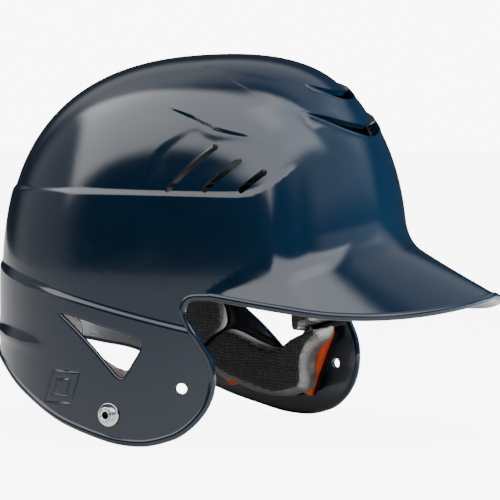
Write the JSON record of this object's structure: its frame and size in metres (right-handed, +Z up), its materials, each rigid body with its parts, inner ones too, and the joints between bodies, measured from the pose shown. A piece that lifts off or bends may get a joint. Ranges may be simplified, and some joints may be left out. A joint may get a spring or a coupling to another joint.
{
  "type": "batting helmet",
  "caption": "Double-flap batting helmet: a glossy moulded shell with a bill, ear openings and vents, layered foam pads inside and a snap stud for the chin strap in each flap.",
  "frame": {"origin": "middle of the head space, level with the shell's widest ring", "axes": "+Z up towards the crown, -Y forwards along the bill, +X towards the wearer's left"},
  "size_m": [0.2184, 0.2946, 0.2127],
  "materials": {
    "navy_plastic": "high-gloss moulded plastic",
    "orange_foam": "firm closed-cell foam",
    "grey_foam": "cut foam",
    "mesh_cloth": "knitted mesh cloth",
    "chrome": "polished"
  },
  "bodies": {
    "root": {"shell": "navy_plastic", "crown_pad_base": "orange_foam", "crown_pad_cushion": "grey_foam", "crown_pad_cover": "mesh_cloth", "forehead_pad_base": "orange_foam", "forehead_pad_cushion": "grey_foam", "forehead_pad_cover": "mesh_cloth", "rear_pad_base": "orange_foam", "rear_pad_cushion": "grey_foam", "rear_pad_cover": "mesh_cloth", "right_side_pad_base": "orange_foam", "right_side_pad_cushion": "grey_foam", "right_side_pad_cover": "mesh_cloth", "right_ear_pad_base": "orange_foam", "right_ear_pad_cushion": "grey_foam", "right_ear_pad_cover": "mesh_cloth", "left_side_pad_base": "orange_foam", "left_side_pad_cushion": "grey_foam", "left_side_pad_cover": "mesh_cloth", "left_ear_pad_base": "orange_foam", "left_ear_pad_cushion": "grey_foam", "left_ear_pad_cover": "mesh_cloth", "right_snap_stud": "chrome", "right_snap_post": "chrome", "right_snap_washer": "chrome", "left_snap_stud": "chrome", "left_snap_post": "chrome", "left_snap_washer": "chrome"}
  },
  "joints": []
}
